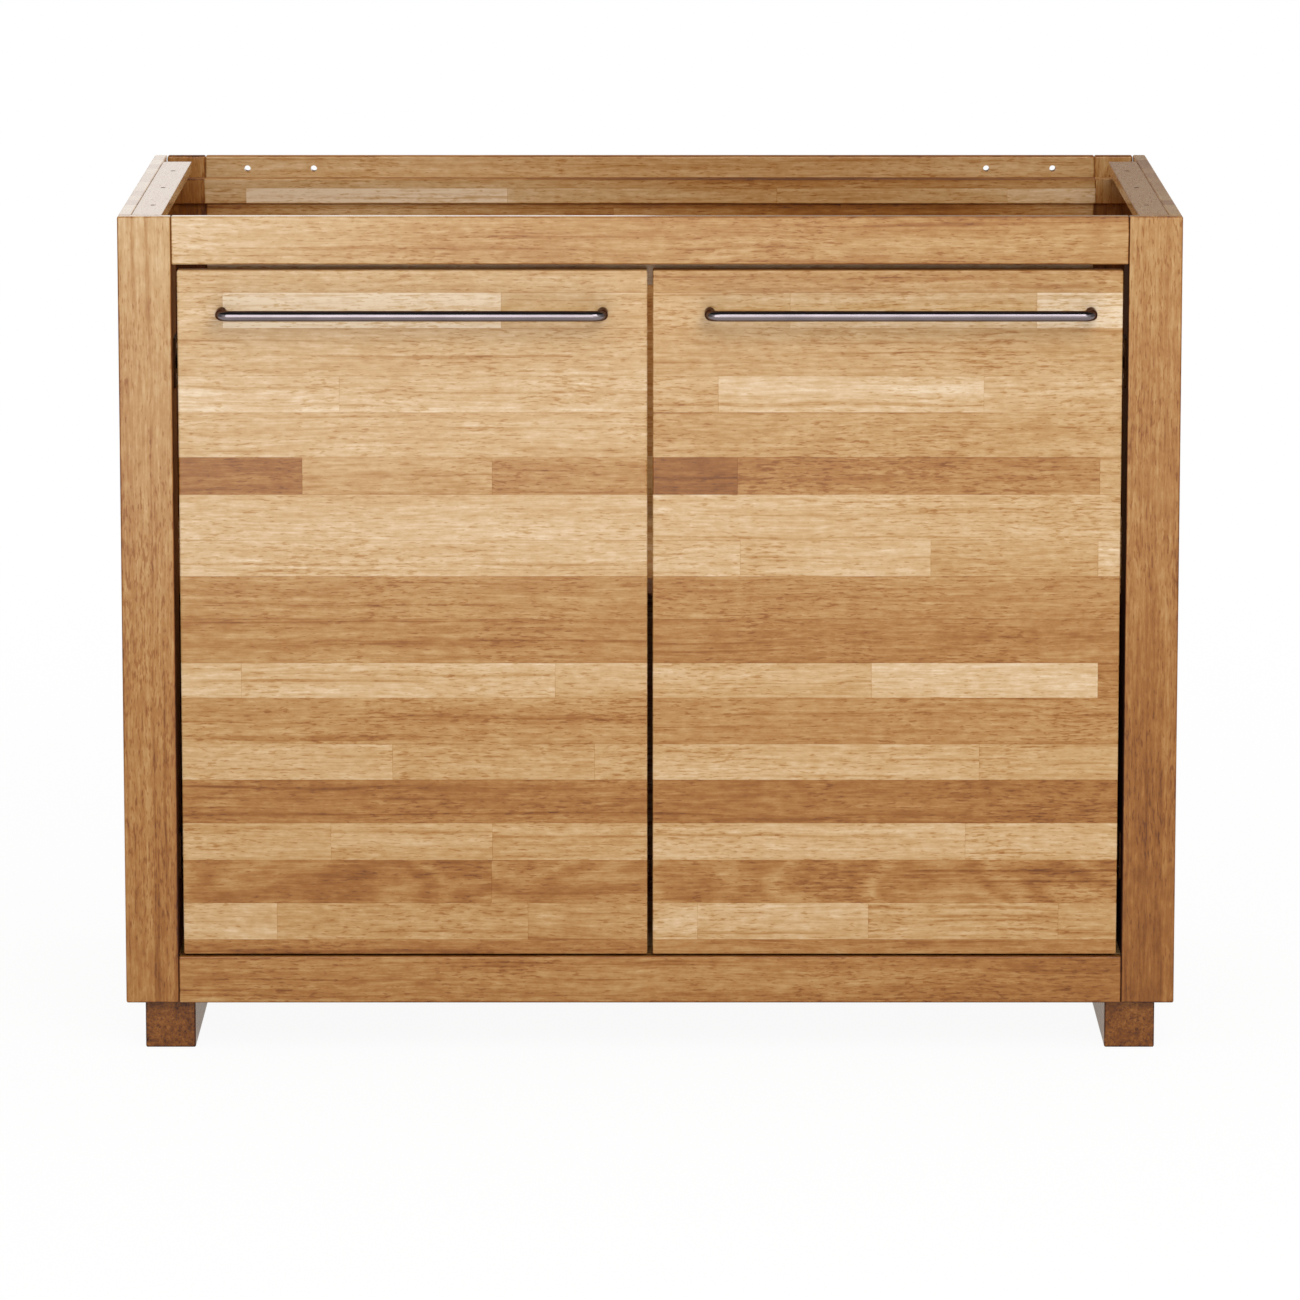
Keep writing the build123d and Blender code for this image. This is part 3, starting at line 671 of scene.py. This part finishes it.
def soft_plastic(name):
    """Pale grey bumper plastic with a faint moulded texture."""
    material, graph, shader = new_material(name)
    place = graph.place()
    grit = graph.noise(place, PLASTIC_GRIT)
    clouds = graph.noise(place, PLASTIC_CLOUDS)
    graph.put(shader.inputs["Base Color"], cloudy(graph, clouds, PLASTIC_COLOURS))
    graph.put(shader.inputs["Roughness"], graph.blend_range(grit, *PLASTIC_ROUGHNESS, smooth=False))
    graph.put(shader.inputs["Normal"], graph.bump(grit, PLASTIC_RELIEF, GRIT_DEPTH))
    return material


# Boards that are one length of timber: grain, tones from the low end to the high end. The stiles of the
# inner back are dark up to a little below their tops: painted shade below the top rail of the inner back.

# Painted shade: the stiles dark below the inner back's top rail
STILE_PAINTED_SHADE = (1.8,) * 12
PLAIN_BOARDS = {
    # The front posts are paler toward their tops: partly the wood's own tone, partly painted light falling
    # from above
    "front_post_left": (GRAIN_Z, (0.84, 0.75, 0.72, 0.60, 0.34)),
    "front_post_right": (GRAIN_Z, (1.10, 1.03, 0.88, 0.81, 0.64)),
    "front_top_rail": (GRAIN_X, (0.04, 0.26, 0.50, 0.52, 0.53, 0.62, 0.56)),
    "front_bottom_rail": (GRAIN_X, (0.74, 0.72, 0.70, 0.74, 0.96)),
    "wall_rail": (GRAIN_X, (0.32, 0.26, 0.30, 0.46, 0.43, 0.40)),
    "rear_post_left": (GRAIN_Z, (0.80, 0.80)),
    "rear_post_right": (GRAIN_Z, (0.56, 0.56)),
    "back_stile_left": (GRAIN_Z, STILE_PAINTED_SHADE + (0.76,)),
    "back_stile_right": (GRAIN_Z, STILE_PAINTED_SHADE + (0.44,)),
    "back_bottom_rail": (GRAIN_X, (0.70, 0.75)),
    "worktop_batten_left": (GRAIN_Y, (0.50, 0.55)),
    "worktop_batten_right": (GRAIN_Y, (0.62, 0.70)),
    "foot_runner_left": (GRAIN_Y, (1.33, 1.20)),
    "foot_runner_right": (GRAIN_Y, (1.27, 1.20)),
    "hinge_post_left": (GRAIN_Z, (0.62, 0.55)),
    "hinge_post_right": (GRAIN_Z, (0.66, 0.58)),
    "floor_bearer_left": (GRAIN_Y, (0.50, 0.55)),
    "floor_bearer_right": (GRAIN_Y, (0.55, 0.50)),
    "door_stop_rail": (GRAIN_X, (0.30, 0.35)),
}

# Panels glued from even staves: grain, stave width and length in metres, palest and brownest tone

STAVE_PANELS = {
    "side_panel_left": (SIDE_GRAIN, 0.044, 0.62, 0.12, 0.88),
    "side_panel_right": (SIDE_GRAIN, 0.044, 0.58, 0.15, 0.92),
    "floor_panel": (FLAT_GRAIN, 0.045, 0.66, 0.15, 0.85),
    "shelf": (FLAT_GRAIN, 0.042, 0.60, 0.12, 0.85),
}

DOWELS = {
    "front_frame_dowels": GRAIN_X,
    "back_frame_dowels": GRAIN_X,
    "rear_frame_dowels": GRAIN_X,
    "side_panel_dowels": GRAIN_Y,
    "batten_dowels": GRAIN_X,
}
DOWEL_TONES = (0.20, 0.25)
BOARD_SEED = 0.5
PANEL_SEED = 20.0
DOWEL_SEED = 40.0


def dress(node, material):
    """Gives a piece its finish."""
    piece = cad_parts[node]
    piece.data.materials.clear()
    piece.data.materials.append(material)


def dress_wood():
    for seed, (node, (grain, tones)) in enumerate(PLAIN_BOARDS.items()):
        dress(node, wood(node, grain, plain_board(node, grain, tones, seed + BOARD_SEED)))
    for seed, (node, (grain, *staves)) in enumerate(STAVE_PANELS.items()):
        dress(node, wood(node, grain, regular_staves(grain, *staves, seed + PANEL_SEED)))
    for seed, (node, grain) in enumerate(DOWELS.items()):
        dowel = plain_board(node, grain, DOWEL_TONES, seed + DOWEL_SEED, STRAIGHT)
        dress(node, wood(node, grain, dowel))
    for node, staves in (("back_top_rail", back_rail_staves), ("back_panel", back_panel_staves)):
        dress(node, wood(node, GRAIN_X, staves(node)))
    for node in ("door_panel_left", "door_panel_right"):
        dress(node, wood(node, GRAIN_X, door_staves()))


def dress_fittings():
    handle = polished_steel("handle_steel")
    # Hinges dark brown: painted shade in the gaps beside the doors
    hinge = plated_steel("hinge_painted_shade", HINGE_PAINTED_SHADE_COLOURS, DARK_HINGE_ROUGHNESS)
    zinc = plated_steel("screw_zinc", ZINC_COLOURS, ZINC_ROUGHNESS)
    for side in ("left", "right"):
        dress(f"handle_{side}", handle)
        for part in ("hinge_arms", "hinge_plates", "hinge_cups", "hinge_pins"):
            dress(f"{part}_{side}", hinge)
        for part in ("handle_screws", "hinge_plate_screws", "hinge_cup_screws"):
            dress(f"{part}_{side}", zinc)
    for node in ("bearer_screws", "door_stop_screws", "runner_screws", "shelf_pins"):
        dress(node, zinc)
    dress("door_bumpers", soft_plastic("bumper_plastic"))


dress_wood()
dress_fittings()

# Studio: a pale floor that runs out into white, a softbox above in front and a white surround

FLOOR_RADIUS = 4.0
FLOOR_SIDES = 96
FLOOR_COLOUR = srgb(242, 242, 241)
FLOOR_WHITE_NEAR = 0.94
FLOOR_WHITE_FROM = 1.0
FLOOR_WHITE_TO = 3.2
FLOOR_MIRRORED_NEAR = 0.35
FLOOR_MIRRORED_FROM = 1.2
FLOOR_MIRRORED_TO = 3.0
# Warm tint of the floor's glow in reflections: a painted reflection, warmer than the paper itself
FLOOR_PAINTED_REFLECTION_TINT = (1.0, 0.90, 0.80, 1.0)
FLOOR_FIBRES = (180.0, 180.0, 180.0)
CLOTH_WEAVE = (300.0, 300.0, 300.0)
MATT = (0.3, 0.7, 0.85, 0.95)
WHITE = (1.0, 1.0, 1.0, 1.0)
AMBIENT_LOW = 0.40
AMBIENT_HIGH = 1.10
KEY_PLACE = Vector((0.9, -3.2, 2.5))
KEY_TARGET = Vector((0.0, -0.28, 0.5))
KEY_SIZE = 1.6
KEY_POWER = 39.0
HORIZON_WHITE = 0.32
CEILING_DARK = 0.60
CEILING_LEVEL = 0.03
WINGS_FROM = 0.75
WINGS_TO = 0.95
WINGS_LEVEL = 0.3
FLAG_PLACE = Vector((1.35, 2.2, 1.1))
FLAG_SIZE = (2.7, 2.6)
FLAG_COLOUR = srgb(152, 145, 139)
SCREEN_PLACE = Vector((0.0, -3.4, 1.6))
SCREEN_SIZE = (5.2, 3.2)
SCREEN_LEFT, SCREEN_LEFT_LEVEL = -0.5, 3.2
SCREEN_RIGHT, SCREEN_RIGHT_LEVEL = 0.7, 1.3


def background_rays(graph):
    """Two switches: 1 for rays that show the white surround itself, and 1 for rays from a reflection."""
    path = graph.node("ShaderNodeLightPath")
    seen = graph.math("MAXIMUM", path.outputs["Is Camera Ray"], path.outputs["Is Transmission Ray"])
    return seen, path.outputs["Is Glossy Ray"]


def floor_material():
    """Pale paper that keeps a soft shadow near the cabinet and runs out into white."""
    material, graph, shader = new_material("floor_paper")
    place = graph.place()
    fibre = graph.noise(place, FLOOR_FIBRES, detail=3.0)
    graph.put(shader.inputs["Base Color"], FLOOR_COLOUR)
    graph.put(shader.inputs["Roughness"], graph.blend_range(fibre, *MATT))
    shader.inputs["Specular IOR Level"].default_value = 0.0
    seen, glossy = background_rays(graph)
    distance = graph.vector("LENGTH", place)
    white = graph.blend_range(distance, FLOOR_WHITE_FROM, FLOOR_WHITE_TO, FLOOR_WHITE_NEAR, 1.0)
    mirrored = graph.blend_range(
        distance, FLOOR_MIRRORED_FROM, FLOOR_MIRRORED_TO, FLOOR_MIRRORED_NEAR, 1.0
    )
    share = graph.math("MULTIPLY_ADD", seen, white, graph.math("MULTIPLY", glossy, mirrored))
    glow = graph.node("ShaderNodeEmission")
    # In reflections the floor glows warm: painted reflection, a warmth the pale paper does not have
    graph.put(glow.inputs["Color"], graph.mix(glossy, WHITE, FLOOR_PAINTED_REFLECTION_TINT))
    blend = graph.node("ShaderNodeMixShader")
    graph.feed(blend, [share, shader.outputs[0], glow.outputs[0]])
    output = next(node for node in graph.tree.nodes if node.type == "OUTPUT_MATERIAL")
    graph.put(output.inputs["Surface"], blend.outputs[0])
    return material


def sheet_of(name, corners, material):
    """A flat piece of the studio."""
    mesh = bpy.data.meshes.new(name)
    mesh.from_pydata(corners, [], [tuple(range(len(corners)))])
    mesh.materials.append(material)
    made = bpy.data.objects.new(name, mesh)
    bpy.context.scene.collection.objects.link(made)
    return made


def build_floor():
    turn = [math.tau * i / FLOOR_SIDES for i in range(FLOOR_SIDES)]
    rim = [(FLOOR_RADIUS * math.cos(a), FLOOR_RADIUS * math.sin(a), 0.0) for a in turn]
    sheet_of("studio_floor", rim, floor_material())


def upright(place, size):
    """Corners of a screen that faces the cabinet."""
    half_width, half_height = size[0] / 2, size[1] / 2
    around = ((-1, -1), (1, -1), (1, 1), (-1, 1))
    return [place + Vector((x * half_width, 0.0, z * half_height)) for x, z in around]


def only_in_reflections(screen):
    screen.visible_camera = False
    screen.visible_diffuse = False
    screen.visible_shadow = False


def build_flag():
    """A dark screen behind the right side, which the lacquer reflects."""
    material, graph, shader = new_material("flag_cloth")
    weave = graph.noise(graph.place(), CLOTH_WEAVE)
    graph.put(shader.inputs["Roughness"], graph.blend_range(weave, *MATT))
    shader.inputs["Base Color"].default_value = FLAG_COLOUR
    only_in_reflections(sheet_of("studio_flag", upright(FLAG_PLACE, FLAG_SIZE), material))


def build_screen():
    """A white screen in front, brighter on the left, which gives lacquer its sheen and steel its shine."""
    material, graph, shader = new_material("screen_cloth")
    place = graph.place()
    weave = graph.noise(place, CLOTH_WEAVE)
    graph.put(shader.inputs["Roughness"], graph.blend_range(weave, *MATT))
    x = graph.axes(place)["X"]
    level = graph.blend_range(x, SCREEN_LEFT, SCREEN_RIGHT, SCREEN_LEFT_LEVEL, SCREEN_RIGHT_LEVEL)
    shader.inputs["Emission Color"].default_value = WHITE
    graph.put(shader.inputs["Emission Strength"], level)
    only_in_reflections(sheet_of("studio_screen", upright(SCREEN_PLACE, SCREEN_SIZE), material))


def build_world():
    """White all round for the camera, darker above and at the sides in reflections, and a soft light."""
    world = bpy.data.worlds.new("studio")
    world.use_nodes = True
    bpy.context.scene.world = world
    graph = Graph(world.node_tree)
    seen, glossy = background_rays(graph)
    way = graph.axes(graph.node("ShaderNodeTexCoord").outputs["Generated"])
    rise, aside = way["Z"], graph.math("ABSOLUTE", way["X"])
    surround = graph.blend_range(rise, HORIZON_WHITE, CEILING_DARK, 1.0, CEILING_LEVEL)
    wings = graph.blend_range(aside, WINGS_FROM, WINGS_TO, 1.0, WINGS_LEVEL)
    surround = graph.math("MULTIPLY", surround, wings)
    soft = graph.blend_range(rise, 0.0, 1.0, AMBIENT_LOW, AMBIENT_HIGH)
    level = graph.mix(glossy, soft, surround)
    level = graph.mix(seen, level, WHITE)
    sky = graph.node("ShaderNodeBackground")
    graph.put(sky.inputs["Color"], level)
    output = graph.node("ShaderNodeOutputWorld")
    graph.put(output.inputs["Surface"], sky.outputs[0])


def build_key_light():
    lamp = bpy.data.lights.new("softbox", "AREA")
    lamp.shape = "SQUARE"
    lamp.size = KEY_SIZE
    lamp.energy = KEY_POWER
    softbox = bpy.data.objects.new("softbox", lamp)
    softbox.location = KEY_PLACE
    softbox.rotation_euler = (KEY_TARGET - KEY_PLACE).to_track_quat("-Z", "Y").to_euler()
    bpy.context.scene.collection.objects.link(softbox)


# Camera: a long lens straight in front of the cabinet, looking a little down

CAMERA_PLACE = (0.0, -7.8931, 1.7547)
CAMERA_TILT = math.radians(80.10)
CAMERA_LENS = 205.4
CAMERA_SENSOR = 36.0
CAMERA_REACH = 100.0


def build_camera():
    lens = bpy.data.cameras.new("camera")
    lens.sensor_width = CAMERA_SENSOR
    lens.lens = CAMERA_LENS
    lens.clip_end = CAMERA_REACH
    camera = bpy.data.objects.new("camera", lens)
    camera.location = CAMERA_PLACE
    camera.rotation_euler = (CAMERA_TILT, 0.0, 0.0)
    bpy.context.scene.collection.objects.link(camera)
    bpy.context.scene.camera = camera


build_floor()
build_flag()
build_screen()
build_world()
build_key_light()
build_camera()
bpy.context.scene.view_settings.view_transform = "Standard"
